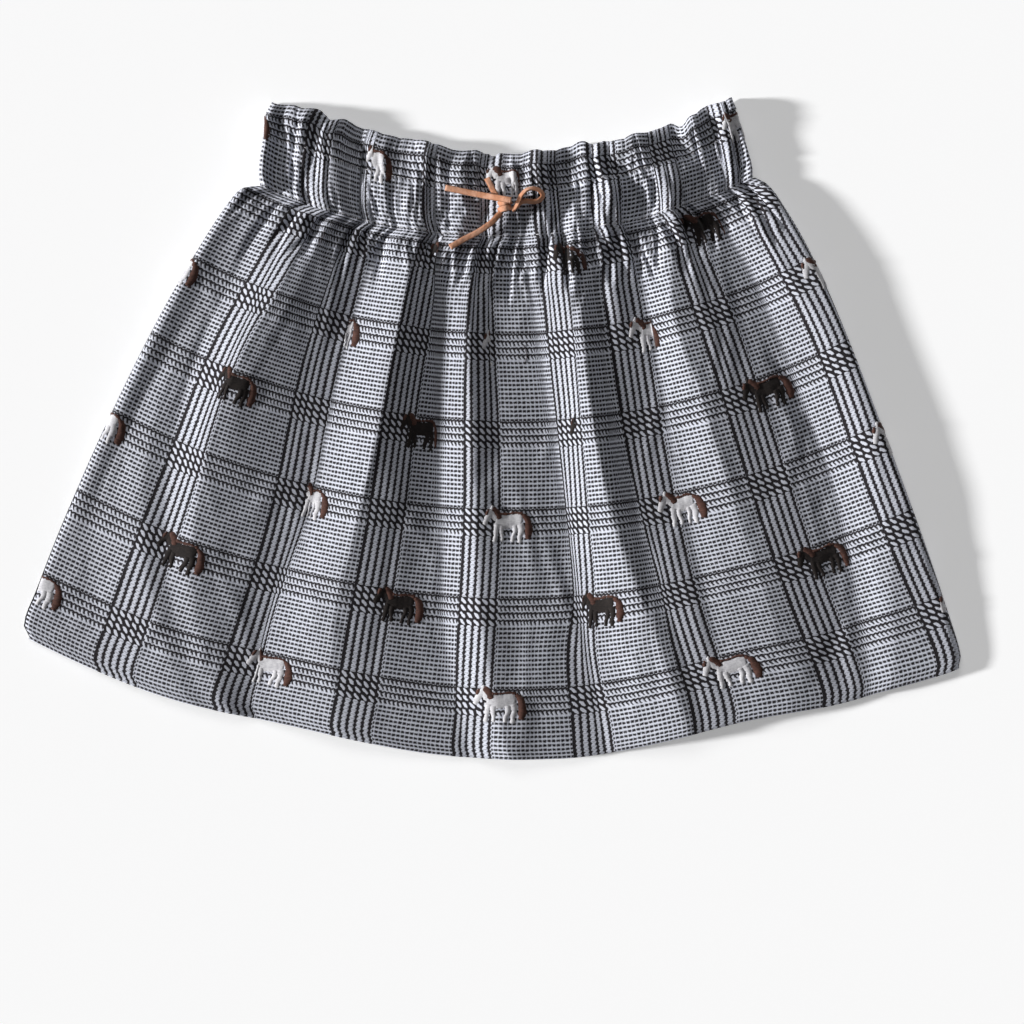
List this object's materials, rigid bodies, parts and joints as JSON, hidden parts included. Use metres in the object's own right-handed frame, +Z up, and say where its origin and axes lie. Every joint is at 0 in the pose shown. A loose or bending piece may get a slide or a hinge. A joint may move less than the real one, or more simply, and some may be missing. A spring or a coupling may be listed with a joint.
{
  "type": "skirt",
  "caption": "Child's gathered skirt laid flat, with a self-faced elastic casing, a soft heading and a leather lace bow.",
  "frame": {"origin": "on the table, under the middle of the skirt's outline", "axes": "+X across the skirt to the right of its front, +Y towards the waist, +Z up off the table"},
  "size_m": [0.4698, 0.3322, 0.0183],
  "materials": {
    "check_cloth": "brushed black and off-white check twill",
    "motif_thread": "off-white, black and brown embroidery",
    "lace_leather": "tan suede lace"
  },
  "bodies": {
    "root": {"front_panel": "check_cloth", "back_panel": "check_cloth", "front_casing": "check_cloth", "back_casing": "check_cloth", "bow_knot": "lace_leather", "bow_loop": "lace_leather", "bow_strip": "lace_leather", "bow_tail": "lace_leather", "bow_stub": "lace_leather"}
  },
  "joints": []
}
